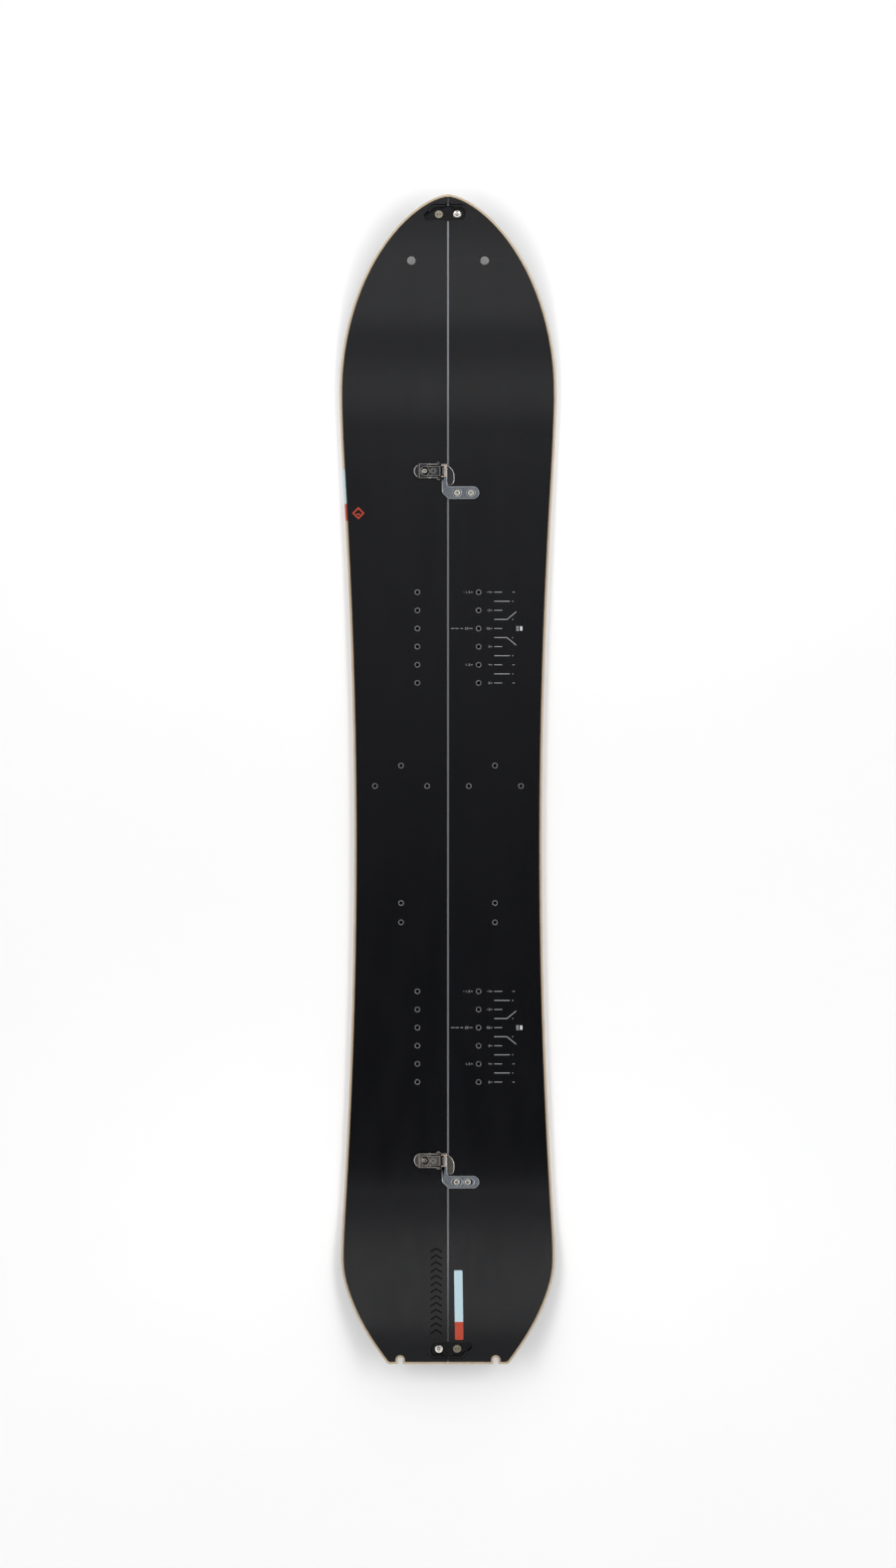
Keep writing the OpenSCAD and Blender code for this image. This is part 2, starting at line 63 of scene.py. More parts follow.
# The seam: how far its walls reach across, how far along it shows grey and then dark,
# and the stretch by the tail over which painted shade dims the grey
SEAM_WALL = 1.3 * MM
SEAM_SHOWS = 802 * MM
SEAM_SHUT = 811.6 * MM
SEAM_DIMMED = -770 * MM
SEAM_DIMS_FROM = -660 * MM
SEAM_GREY = (0.205, 0.21, 0.23)
SEAM_GREY_LIGHT = (0.25, 0.255, 0.275)
SEAM_GREY_SHADED = (0.05, 0.05, 0.055)
SEAM_DARK = (0.012, 0.012, 0.014)
HOOK_BARE_FROM = -9.6 * MM


# ---------------------------------------------------------------- materials

def rgba(color):
    return (*color, 1.0)


class Look:
    """One material's nodes. Places are in metres in the board's own frame."""

    def __init__(self, name, color, roughness, metallic=0.0, **sockets):
        self.material = bpy.data.materials.new(name)
        self.material.use_nodes = True
        self.tree = self.material.node_tree
        self.shader = self.tree.nodes["Principled BSDF"]
        self.place = self.add("ShaderNodeTexCoord").outputs["Object"]
        values = {"Base Color": rgba(color), "Roughness": roughness, "Metallic": metallic, **sockets}
        self.put(self.shader, values)

    def put(self, node, values):
        for key, value in values.items():
            if isinstance(value, bpy.types.NodeSocket):
                self.tree.links.new(value, node.inputs[key])
            else:
                node.inputs[key].default_value = value

    def add(self, kind, values=None, **settings):
        node = self.tree.nodes.new(kind)
        for key, value in settings.items():
            setattr(node, key, value)
        self.put(node, values or {})
        return node

    def noise(self, size, detail=3.0, stretch=(1, 1, 1), rough=0.55):
        """Noise with features of about this size in metres, longer along an axis whose stretch is over 1."""
        scale = [1 / (size * s) for s in stretch]
        placed = self.add("ShaderNodeMapping", {"Vector": self.place, "Scale": scale})
        values = {"Vector": placed.outputs[0], "Scale": 1.0, "Detail": detail, "Roughness": rough}
        return self.add("ShaderNodeTexNoise", values).outputs["Fac"]

    def spread(self, value, low, high, at=(0.3, 0.7)):
        values = {"Value": value, "From Min": at[0], "From Max": at[1], "To Min": low, "To Max": high}
        return self.add("ShaderNodeMapRange", values).outputs["Result"]

    def mix(self, factor, one, other):
        mixer = self.add("ShaderNodeMix", data_type="RGBA")
        self.put(mixer, {0: factor, 6: one, 7: other})
        return mixer.outputs[2]

    def painted(self):
        """The base colour so far: the socket that drives it, or else a plain colour."""
        socket = self.shader.inputs["Base Color"]
        return socket.links[0].from_socket if socket.is_linked else tuple(socket.default_value)

    def paint(self, color):
        self.put(self.shader, {"Base Color": color})
        return self

    def mottle(self, other, size, stretch=(1, 1, 1), at=(0.35, 0.65)):
        """Lets the base colour drift towards another one."""
        factor = self.spread(self.noise(size, stretch=stretch), 0.0, 1.0, at)
        return self.paint(self.mix(factor, self.painted(), rgba(other)))

    def polish(self, low, high, size, stretch=(1, 1, 1)):
        """Lets the roughness drift between two values."""
        self.put(self.shader, {"Roughness": self.spread(self.noise(size, stretch=stretch), low, high)})
        return self

    def bump(self, height, depth, strength=1.0):
        """Adds relief of this depth in metres to whatever relief is there."""
        normal = self.shader.inputs["Normal"]
        values = {"Height": height, "Distance": depth, "Strength": strength}
        if normal.is_linked:
            values["Normal"] = normal.links[0].from_socket
        self.put(self.shader, {"Normal": self.add("ShaderNodeBump", values).outputs["Normal"]})
        return self

    def grain(self, size, depth, stretch=(1, 1, 1), detail=3.0):
        return self.bump(self.noise(size, detail, stretch), depth)

    def crevice_shade(self, reach, dark, at=(0.45, 0.9)):
        """Paints shade into the base colour where nearby surfaces of the same piece close in, within this
        reach in metres.
        """
        found = self.add("ShaderNodeAmbientOcclusion", {"Distance": reach}, only_local=True, samples=8)
        open_part = self.spread(found.outputs["AO"], 0.0, 1.0, at)
        return self.paint(self.mix(open_part, rgba(dark), self.painted()))

    def along(self, axis):
        return self.add("ShaderNodeSeparateXYZ", {"Vector": self.place}).outputs[axis]

    def both(self, one, other):
        return self.add("ShaderNodeMath", {0: one, 1: other}, operation="MULTIPLY").outputs[0]

    def where(self, axis, low, high):
        """1 where the place along an axis is between two values in metres, 0 elsewhere."""
        place = self.along(axis)
        above = self.add("ShaderNodeMath", {0: place, 1: low}, operation="GREATER_THAN").outputs[0]
        below = self.add("ShaderNodeMath", {0: place, 1: high}, operation="LESS_THAN").outputs[0]
        return self.both(above, below)


def topsheet_look():
    look = Look("topsheet_black", (0.0014, 0.0016, 0.0026), 0.25, **{"Specular IOR Level": 0.3})
    look.mottle((0.0020, 0.0022, 0.0034), 0.05, stretch=(1, 3, 1))
    look.polish(0.20, 0.24, 0.03, stretch=(1, 4, 1))
    look.grain(0.00045, 0.00002)
    return look.grain(0.006, 0.00003, stretch=(1, 5, 1)).material


def printed_look(name, color, roughness=0.42, gloss=0.5):
    look = Look(name, color, roughness, **{"Specular IOR Level": gloss})
    look.mottle([c * 0.9 for c in color], 0.0012)
    return look.grain(0.0004, 0.000015).material


def seam_tones(look):
    """Walls along the seam: grey, dimmed by painted shade by the tail, dark past the clips, cream at the very
    ends.
    """
    grey = look.mix(look.noise(0.002, stretch=(1, 8, 1)), rgba(SEAM_GREY), rgba(SEAM_GREY_LIGHT))
    # Painted shade: the grey dims towards the tail
    lit = look.spread(look.along("Y"), 0.0, 1.0, (SEAM_DIMMED, SEAM_DIMS_FROM))
    grey = look.mix(lit, rgba(SEAM_GREY_SHADED), grey)
    wall = look.where("X", -SEAM_WALL, SEAM_WALL)
    for reach, tone in ((SEAM_SHUT, rgba(SEAM_DARK)), (SEAM_SHOWS, grey)):
        part = look.both(wall, look.where("Y", -reach, reach))
        look.paint(look.mix(part, look.painted(), tone))


def sidewall_look():
    look = Look("sidewall_cream", CREAM, 0.45, **{"Subsurface Weight": 0.08})
    look.mottle(CREAM_LIGHT, 0.004, stretch=(1, 6, 1))
    seam_tones(look)
    look.polish(0.38, 0.6, 0.002, stretch=(1, 1, 8))
    return look.grain(0.0005, 0.00002, stretch=(1, 1, 20)).material


def seam_look():
    look = Look("inner_sidewall_grey", CREAM, 0.42)
    look.mottle(CREAM_LIGHT, 0.004)
    seam_tones(look)
    return look.grain(0.0006, 0.00002, stretch=(1, 10, 1)).material


def base_look():
    look = Look("base_black", (0.010, 0.010, 0.012), 0.3, **{"Coat Weight": 0.15, "Coat Roughness": 0.2})
    look.mottle((0.017, 0.017, 0.020), 0.02, stretch=(1, 8, 1))
    look.polish(0.22, 0.42, 0.012, stretch=(1, 14, 1))
    return look.grain(0.0006, 0.000025, stretch=(1, 40, 1)).material


def brushed_look(name, color, roughness, stretch, size=0.0004, depth=0.000012, reach=None):
    look = Look(name, color, roughness, metallic=1.0)
    look.mottle([c * 0.8 for c in color], 0.003, stretch=stretch)
    # With a reach, painted shade darkens the recesses
    if reach:
        look.crevice_shade(reach, [c * 0.12 for c in color])
    look.polish(roughness * 0.75, roughness * 1.3, 0.0012, stretch=stretch)
    return look.grain(size, depth, stretch=stretch).material


def blasted_look(name, color, roughness, size=0.0005, depth=0.00003, dark=0.7):
    look = Look(name, color, roughness, metallic=1.0)
    look.mottle([c * dark for c in color], 0.0015)
    look.polish(roughness * 0.8, roughness * 1.25, 0.004)
    return look.grain(size, depth).material


def hook_look():
    """Dark arms, and a bar that the catch has rubbed to bare bronze."""
    bronze_light, bronze_dark = (0.80, 0.62, 0.52), (0.52, 0.42, 0.37)
    look = Look("hook_bronze", (0.060, 0.060, 0.062), 0.36, metallic=1.0)
    look.mottle((0.040, 0.040, 0.042), 0.0015)
    bare = look.mix(look.noise(0.0012, stretch=(1, 4, 1)), rgba(bronze_light), rgba(bronze_dark))
    look.paint(look.mix(look.where("X", HOOK_BARE_FROM, 1.0), look.painted(), bare))
    look.polish(0.24, 0.4, 0.003)
    return look.grain(0.0005, 0.00002).material


def plastic_look(name, color, roughness, gloss):
    look = Look(name, color, roughness, **{"Specular IOR Level": gloss})
    look.mottle([c * 1.5 for c in color], 0.006)
    look.polish(roughness * 0.8, roughness * 1.2, 0.005)
    return look.grain(0.00035, 0.00003).material


def laminate_look():
    look = Look("glass_laminate", (0.40, 0.41, 0.36), 0.35)
    look.mottle((0.30, 0.31, 0.27), 0.001, stretch=(1, 6, 1))
    return look.grain(0.0008, 0.00002, stretch=(1, 8, 1)).material


def wood_look():
    look = Look("core_wood", (0.56, 0.39, 0.22), 0.6)
    look.mottle((0.40, 0.25, 0.12), 0.003, stretch=(1, 60, 1))
    return look.grain(0.0006, 0.00004, stretch=(1, 40, 1)).material


LOOKS = {
    "topsheet": topsheet_look(),
    "grey_ink": printed_look("grey_ink", (0.30, 0.305, 0.315)),
    "white_ink": printed_look("white_ink", (0.62, 0.63, 0.64)),
    "blue_ink": printed_look("blue_ink", (0.47, 0.62, 0.68)),
    "orange_ink": printed_look("orange_ink", (0.46, 0.046, 0.017)),
    "ghost_ink": printed_look("ghost_ink", (0.0012, 0.0012, 0.0014), 0.25, 0.1),
    "sidewall": sidewall_look(),
    "seam": seam_look(),
    "base": base_look(),
    "edge": brushed_look("edge_steel", (0.50, 0.51, 0.53), 0.3, (1, 30, 1)),
    "laminate": laminate_look(),
    "wood": wood_look(),
    "insert": brushed_look("insert_steel", (0.62, 0.62, 0.63), 0.28, (1, 1, 1)),
    "nut": brushed_look("nut_steel", (0.50, 0.50, 0.51), 0.3, (6, 1, 1)),
    # The two joiners share one finish: the front copy is painted darker, painted shade, and the rear copy
    # lighter and browner, painted sheen
    "front_joiner": blasted_look("joiner_dark", (0.05, 0.051, 0.054), 0.5),
    "rear_joiner": blasted_look("joiner_bronze", (0.115, 0.105, 0.092), 0.52),
    # Lighter look for the joiners' chamfers and rounded edges: partly edge wear, partly painted highlight
    "joiner_wear_and_glint": brushed_look("joiner_edge_wear_and_glint", (0.40, 0.385, 0.37), 0.36, (4, 1, 1)),
    "hook": hook_look(),
    "catch": blasted_look("catch_grey", (0.19, 0.21, 0.235), 0.55, 0.0007, 0.00005, 0.6),
    # Lighter look for the catch plates' chamfers: partly edge wear, partly painted highlight
    "catch_wear_and_glint": brushed_look("catch_edge_wear_and_glint", (0.42, 0.44, 0.47), 0.4, (3, 1, 1)),
    # Painted shade for the insides and floors of the insert bores
    "thread": blasted_look("insert_bore_painted_shade", (0.008, 0.008, 0.009), 0.6),
    # Screws and bolts take painted shade in their sockets and recesses
    "screw": brushed_look("screw_steel", (0.80, 0.76, 0.70), 0.20, (1, 1, 1), reach=0.0022),
    "bronze": brushed_look("bolt_bronze", (0.28, 0.25, 0.195), 0.34, (1, 1, 1), reach=0.0015),
    "clip": plastic_look("clip_black", (0.0045, 0.0045, 0.0052), 0.5, 0.12),
    # Lighter, glossier look for the clips' rounded edges: partly edge wear, partly painted highlight
    "clip_wear_and_glint": plastic_look("clip_black_edge", (0.022, 0.022, 0.026), 0.34, 0.35),
}


# ---------------------------------------------------------------- pieces

def as_object(name, mesh, looks, body, replaced=()):
    """A mesh as a named piece that rides on a body."""
    for look in looks:
        mesh.materials.append(LOOKS[look])
    piece = bpy.data.objects.new(name, mesh)
    bpy.context.scene.collection.objects.link(piece)
    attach(piece, body)
    if replaced:
        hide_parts(*replaced)
    return piece


def shade(mesh, sharp_over):
    mesh.polygons.foreach_set("use_smooth", [True] * len(mesh.polygons))
    mesh.set_sharp_from_angle(angle=math.radians(sharp_over))


def body_of_node(node):
    return next(b for b, members in frame["record"]["behaviour"]["bodies"].items() if node in members)


CHAMFER_DROP = 0.35 * MM
UPWARD = 0.999
LEVEL = 0.99


def chamfer_top(bm, width, slot_index):
    """A shallow chamfer round the outline and holes of a piece's widest upward flat."""
    flats = {}
    for face in bm.faces:
        if face.normal.z > UPWARD:
            flats.setdefault(round(face.calc_center_median().z / MM, 1), []).append(face)
    top = max(flats.values(), key=lambda faces: sum(face.calc_area() for face in faces))
    inside = set(top)
    rim = {edge for face in top for edge in face.edges if not inside.issuperset(edge.link_faces)}
    left_alone = {vert for edge in rim if not edge.is_convex for vert in edge.verts}
    lowered = {vert.co.to_tuple(7) for edge in rim for vert in edge.verts if vert not in left_alone}
    settings = {"thickness": width * MM, "depth": 0.0, "use_even_offset": True, "use_boundary": True}
    ring = bmesh.ops.inset_region(bm, faces=top, **settings)["faces"]
    for vert in {vert for face in ring for vert in face.verts}:
        if vert.co.to_tuple(7) in lowered:
            vert.co.z -= CHAMFER_DROP
    bm.normal_update()
    for face in ring:
        if face.normal.z < LEVEL:
            face.material_index = slot_index


def round_edges(bm, edges, width, segments, slot_index):
    bmesh.ops.bevel(
        bm, geom=edges, offset=width * MM, offset_type="OFFSET", segments=segments, profile=0.5,
        affect="EDGES", clamp_overlap=True, material=slot_index,
    )


def refined(node, looks, bevel, segments=2, flat=1.0, over=28, rim=0.0):
    """A CAD node's shape with its flats merged and its edges rounded, in the node's place.

    Sizes are in millimetres and angles in degrees: flat merges, over rounds. With a rim, a chamfer of
    that width runs round the top and takes the last look. Without one, the rounded edges take it. For the
    hardware that last look is a lighter edge finish, partly edge wear and partly painted highlight.
    """
    bm = bmesh.new()
    bm.from_mesh(frame["nodes"][node].data)
    bmesh.ops.remove_doubles(bm, verts=bm.verts, dist=MERGE)
    bmesh.ops.dissolve_limit(bm, angle_limit=math.radians(flat), verts=bm.verts, edges=bm.edges)
    bm.normal_update()
    for face in bm.faces:
        face.material_index = 0
    last = len(looks) - 1
    if rim:
        chamfer_top(bm, rim, last)
    edges = [e for e in bm.edges if e.is_manifold and e.calc_face_angle() > math.radians(over)]
    round_edges(bm, edges, bevel, segments, 0 if rim else last)
    mesh = bpy.data.meshes.new(node + "_finish")
    bm.to_mesh(mesh)
    bm.free()
    shade(mesh, 20 if rim else 50)
    piece = as_object(node + "_finish", mesh, looks, body_of_node(node), [node])
    weigh = piece.modifiers.new("even_flats", "WEIGHTED_NORMAL")
    weigh.keep_sharp = True
    return piece


def carried(node, look):
    """A CAD node whose shape is kept, with its finish."""
    mesh = frame["nodes"][node].data
    mesh.materials.clear()
    mesh.materials.append(LOOKS[look])


def tree_of(node):
    mesh = frame["nodes"][node].data
    return BVHTree.FromPolygons([v.co for v in mesh.vertices], [p.vertices for p in mesh.polygons])


# A spacer's seam wall is nearer to the middle than SEAM_FACE
SEAM_FACE = 0.25 * MM
SEAM_CLOSED = 0.02 * MM


def close_seam(piece):
    """The clips pull the ends of the two skis together, so the spacers' walls along the seam nearly meet."""
    for vert in piece.data.vertices:
        if abs(vert.co.x) < SEAM_FACE:
            vert.co.x = math.copysign(SEAM_CLOSED, vert.co.x)


SKINS = {side: tree_of(f"{side}_topsheet") for side in SIDES}
LEFT_WALL = tree_of("left_outer_sidewall")


def on_topsheet(x, y):
    """The point just above the topsheet at a place seen from above, in metres."""
    side = "left" if x < 0 else "right"
    hit = SKINS[side].ray_cast(Vector((x, y, RAY_FROM)), Vector((0, 0, -1)))[0]
    return Vector((x, y, hit.z + INK_LIFT))


def solids_of(node):
    """The lowest and highest corners of each separate solid in a CAD node."""
    bm = bmesh.new()
    bm.from_mesh(frame["nodes"][node].data)
    bmesh.ops.remove_doubles(bm, verts=bm.verts, dist=MERGE)
    left = set(bm.verts)
    boxes = []
    while left:
        stack = [left.pop()]
        found = list(stack)
        while stack:
            for edge in stack.pop().link_edges:
                for vert in edge.verts:
                    if vert in left:
                        left.remove(vert)
                        stack.append(vert)
                        found.append(vert)
        corners = [Vector([pick(v.co[i] for v in found) for i in range(3)]) for pick in (min, max)]
        boxes.append(corners)
    bm.free()
    return boxes


# ---------------------------------------------------------------- the board

for side in SIDES:
    refined(f"{side}_topsheet", ["topsheet"], 0.14, flat=0.1)
    refined(f"{side}_upper_glass", ["laminate"], 0.05, 1, flat=0.1)
    refined(f"{side}_outer_sidewall", ["sidewall"], SIDEWALL_ROUND, 3, flat=0.1)
    close_seam(refined(f"{side}_tip_spacer", ["sidewall"], 0.35, 2, flat=0.1))
    close_seam(refined(f"{side}_tail_spacer", ["sidewall"], 0.35, 2, flat=0.1))
    refined(f"{side}_inner_sidewall", ["seam"], 0.3, 2, flat=0.1)
    refined(f"{side}_outer_edge", ["edge"], 0.18, 2, flat=0.1)
    refined(f"{side}_inner_edge", ["edge"], 0.18, 2, flat=0.1)
    refined(f"{side}_base_sheet", ["base"], 0.08, 1, flat=0.1)
    refined(f"{side}_tee_nuts", ["nut"], 0.15)
    carried(f"{side}_lower_glass", "laminate")
    carried(f"{side}_core", "wood")


INSERT_R = 4.0 * MM
INSERT_RIM = 0.3 * MM
INSERT_HIDDEN = 1.0 * MM
BORE = 2.5 * MM
BORE_FLOOR = 1.2 * MM
LEAD_IN_DEPTH = 0.6 * MM
LEAD_IN_TOP = 0.65 * MM
LEAD_IN_FOOT = 0.15 * MM
FIRST_THREAD = 0.1 * MM
THREAD_PITCH = 1 * MM
THREAD_DEPTH = 0.45 * MM
THREAD_FLANK = 0.4 * THREAD_PITCH
AROUND = 48


def lathe(bm, centre, profile):
    """Turns a closed profile of (radius, height) points about a vertical axis."""
    rings = []
    radii = [radius for radius, height in profile]
    turn = [2 * math.pi * i / AROUND for i in range(AROUND)]
    for radius, height in profile:
        places = [centre + Vector((radius * math.cos(a), radius * math.sin(a), height)) for a in turn]
        rings.append([bm.verts.new(place) for place in places])
    for (low, high), (low_r, high_r) in zip(zip(rings, rings[1:]), zip(radii, radii[1:])):
        # Faces down the bore, and the bore's floor, take the second look: painted shade
        inside = min(low_r, high_r) < BORE + FIRST_THREAD
        for i in range(AROUND):
            j = (i + 1) % AROUND
            bm.faces.new((low[i], low[j], high[j], high[i])).material_index = int(inside)
    bm.faces.new(reversed(rings[0]))
    bm.faces.new(rings[-1]).material_index = 1


def insert_profile(height):
    """Up the outside, over the rim, down a threaded bore to its floor."""
    level = height - LEAD_IN_DEPTH
    points = [
        (INSERT_R, INSERT_HIDDEN), (INSERT_R, height - INSERT_RIM), (INSERT_R - INSERT_RIM, height),
        (BORE + LEAD_IN_TOP, height), (BORE + LEAD_IN_FOOT, level), (BORE, level - FIRST_THREAD),
    ]
    while level - THREAD_PITCH > BORE_FLOOR:
        points.append((BORE + THREAD_DEPTH, level - THREAD_FLANK))
        level -= THREAD_PITCH
        points.append((BORE + THREAD_DEPTH, level + THREAD_FLANK))
        points.append((BORE, level))
    points.append((BORE, BORE_FLOOR))
    return points


def inserts(node):
    bm = bmesh.new()
    for low, high in solids_of(node):
        centre = (low + high) / 2
        lathe(bm, Vector((centre.x, centre.y, low.z)), insert_profile(high.z - low.z))
    bmesh.ops.recalc_face_normals(bm, faces=bm.faces)
    mesh = bpy.data.meshes.new(node + "_threaded")
    bm.to_mesh(mesh)
    bm.free()
    shade(mesh, 40)
    return as_object(node + "_threaded", mesh, ["insert", "thread"], BOARD, [node])


for side in SIDES:
    inserts(f"{side}_binding_inserts")
    inserts(f"{side}_touring_inserts")


# ---------------------------------------------------------------- joiners and clips

for end in ENDS:
    refined(f"{end}_joiner_base", [f"{end}_joiner", "joiner_wear_and_glint"], 0.2, rim=0.75)
    refined(f"{end}_joiner_bolt", ["screw"], 0.2)
    refined(f"{end}_joiner_lever", [f"{end}_joiner", "joiner_wear_and_glint"], 0.2, rim=0.5)
    refined(f"{end}_joiner_pivot_rivets", ["screw"], 0.15)
    refined(f"{end}_joiner_draw_hook", ["hook"], 0.5, 3)
    refined(f"{end}_joiner_hook_pin", ["screw"], 0.15)
    refined(f"{end}_joiner_catch_plate", ["catch", "catch_wear_and_glint"], 0.25, rim=0.9)
    refined(f"{end}_joiner_catch_screws", ["screw"], 0.15)

for end in ("tip", "tail"):
    refined(f"{end}_clip_pivot_pad", ["clip", "clip_wear_and_glint"], 0.35, 3)
    refined(f"{end}_clip_post_pad", ["clip", "clip_wear_and_glint"], 0.35, 3)
    refined(f"{end}_clip_arm", ["clip", "clip_wear_and_glint"], 0.4, 3)
    refined(f"{end}_clip_pivot_bolt", ["bronze"], 0.2)
    refined(f"{end}_clip_post_bolt", ["screw"], 0.2)


# ---------------------------------------------------------------- printed marks

PRINT_STEP = 4


class Print:
    """Ink laid on the topsheet: flat shapes that follow its surface."""

    def __init__(self, name, look):
        self.name = name
        self.look = look
        self.bm = bmesh.new()

    def rows(self, rows):
        """Joins rows of points, given as (x, y) in millimetres, into a strip."""
        laid = [[self.bm.verts.new(on_topsheet(x * MM, y * MM)) for x, y in row] for row in rows]
        for low, high in zip(laid, laid[1:]):
            for i in range(len(low) - 1):
                self.bm.faces.new((low[i], low[i + 1], high[i + 1], high[i]))

    def path(self, places, width, closed=False):
        """A stroke through (x, y) places, mitred where it turns."""
        points = [Vector(place) for place in places]
        if closed:
            points = [points[-1]] + points + points[:2]
        ways = [(b - a).normalized().orthogonal() for a, b in zip(points, points[1:])]
        pairs = zip([ways[0]] + ways, ways + [ways[-1]])
        turns = [(one + other) / (1 + one.dot(other)) for one, other in pairs]
        rails = [(p - t * width / 2, p + t * width / 2) for p, t in zip(points, turns)]
        if closed:
            rails = rails[1:-1]
        rows = [rails[0]]
        for (a, b), (c, d) in zip(rails, rails[1:]):
            steps = max(1, math.ceil((c - a).length / PRINT_STEP))
            rows += [(a.lerp(c, i / steps), b.lerp(d, i / steps)) for i in range(1, steps + 1)]
        self.rows(rows)

    def line(self, start, end, width):
        self.path([start, end], width)

    def dash(self, across, y, width):
        """A level stroke between two places across the board."""
        self.line((across[0], y), (across[1], y), width)

    def disc(self, x, y, radius, sides=16):
        turn = [2 * math.pi * i / sides for i in range(sides)]
        rim = [(x + radius * math.cos(a), y + radius * math.sin(a)) for a in turn]
        self.bm.faces.new([self.bm.verts.new(on_topsheet(px * MM, py * MM)) for px, py in rim])

    def finish(self):
        bmesh.ops.recalc_face_normals(self.bm, faces=self.bm.faces)
        for face in self.bm.faces:
            if face.normal.z < 0:
                face.normal_flip()
        mesh = bpy.data.meshes.new(self.name)
        self.bm.to_mesh(mesh)
        self.bm.free()
        shade(mesh, 30)
        return as_object(self.name, mesh, [self.look], BOARD)


SEGMENTS = {
    "a": ((0, 2), (1, 2)), "b": ((1, 2), (1, 1)), "c": ((1, 1), (1, 0)), "d": ((0, 0), (1, 0)),
    "e": ((0, 1), (0, 0)), "f": ((0, 2), (0, 1)), "g": ((0, 1), (1, 1)),
}
GLYPHS = {"0": "abcdef", "1": "bc", "2": "abged", "4": "fgbc", "5": "afgcd", "6": "afgedc", "-": "g"}
DIGIT_W = 1.5
DIGIT_H = 1.35
DIGIT_STEP = 2.6
DIGIT_STROKE = 0.5
POINT_R = 0.35


def number(ink, text, right, y):
    """Scale numerals that end at a place."""
    for i, glyph in enumerate(reversed(text)):
        left = right - DIGIT_W - i * DIGIT_STEP
        if glyph == ".":
            ink.disc(left + DIGIT_W / 2, y - DIGIT_H, POINT_R, 8)
            continue
        for segment in GLYPHS[glyph]:
            ends = [(left + px * DIGIT_W, y + (py - 1) * DIGIT_H) for px, py in SEGMENTS[segment]]
            ink.line(*ends, DIGIT_STROKE)


def group_rows(end):
    """The stations of the six binding insert rows of one foot, in millimetres, from the tip down."""
    stations = [(low.y + top.y) / 2 / MM for low, top in solids_of("right_binding_inserts")]
    middle = sum(stations) / len(stations)
    return sorted([y for y in stations if (y > middle) == (end == "front")], reverse=True)


# The stance scale: where its strokes run across the board, and where its numerals end, in millimetres
SCALE_X = 64.8
SHORT = (SCALE_X, SCALE_X + 11.0)
LONG = (SCALE_X, SCALE_X + 21.6)
BEND_X = (82.5, 95.4)
BEND_RISE = 10.6
DOT_X = 90.6
DOT_R = 0.7
OUTER_TICK = (90.2, 93.4)
STANCE_TICK = (59.8, 61.8)
OFFSET_TICK = (32.2, 34.4)
REFERENCE_TICK = (29.8, 34.4)
REFERENCE_DASHES = ((4.2, 9.0), (10.2, 15.0), (17.4, 21.0))
STANCE_END = 58.6
OFFSET_END = 30.6
REFERENCE_END = 28.2
COMB_X = (95.6, 99.2)
COMB_STEP = 1.8
COMB_STROKE = 1.2
COMB_TEETH = 4
BLOCK_X = (100.8, 104.1)
BLOCK_HALF = 3
SCALE_STROKE = 1.1
ROW_STROKE = SCALE_STROKE * 0.85
DASH_STROKE = SCALE_STROKE * 0.8
TICK_STROKE = SCALE_STROKE * 0.7

# What the scale says at each insert row, the reference row, and how the strokes between rows bend
STANCE_NUMBERS = ("-4", "-2", "56", "2", "4", "6")
OFFSET_NUMBERS = {0: "-1.5", 4: "1.5"}
TICKED_ROWS = (0, 4, 5)
REFERENCE = 2
REFERENCE_NUMBER = "22"
BENT = {1: 1, 2: -1}


def row_marks(ink, i, y):
    """The strokes and numerals of one insert row."""
    ink.dash(SHORT, y, ROW_STROKE)
    if i in TICKED_ROWS:
        ink.dash(OUTER_TICK, y, TICK_STROKE)
    number(ink, STANCE_NUMBERS[i], STANCE_END, y)
    ink.dash(STANCE_TICK, y, DASH_STROKE)
    if i in OFFSET_NUMBERS:
        number(ink, OFFSET_NUMBERS[i], OFFSET_END, y)
        ink.dash(OFFSET_TICK, y, DASH_STROKE)


def half_row_marks(ink, i, y):
    """The stroke between two insert rows, straight or bent, and its dot."""
    if i in BENT:
        ink.path([(SCALE_X, y), (BEND_X[0], y), (BEND_X[1], y + BENT[i] * BEND_RISE)], SCALE_STROKE)
    else:
        ink.dash(LONG, y, SCALE_STROKE)
    ink.disc(DOT_X, y, DOT_R)


def reference_marks(ink, y):
    """The dashes, numeral and comb that point out the reference row."""
    for across in REFERENCE_DASHES:
        ink.dash(across, y, DASH_STROKE)
    number(ink, REFERENCE_NUMBER, REFERENCE_END, y)
    ink.dash(REFERENCE_TICK, y, DASH_STROKE)
    for k in range(COMB_TEETH):
        ink.dash(COMB_X, y + COMB_STEP * ((COMB_TEETH - 1) / 2 - k), COMB_STROKE)


def stance_scale(end):
    rows = group_rows(end)
    pitch = rows[0] - rows[1]
    ink = Print(f"{end}_stance_scale", "grey_ink")
    for i, y in enumerate(rows):
        row_marks(ink, i, y)
    for i, y in enumerate(rows[:-1]):
        half_row_marks(ink, i, y - pitch / 2)
    y = rows[REFERENCE]
    reference_marks(ink, y)
    ink.finish()
    block = Print(f"{end}_stance_block", "white_ink")
    block.rows([[(x, y + side * BLOCK_HALF) for x in BLOCK_X] for side in (-1, 1)])
    block.finish()


for end in ENDS:
    stance_scale(end)


STRIPE_TOP = -686.0
STRIPE_SPLIT = -757.3
STRIPE_END = -781.9
STRIPE_X = 14.3
STRIPE_LEAN = 1.4
STRIPE_W = 11.7
STRIPE_ROUND = 1.8
STRIPE_STEP = 3.0


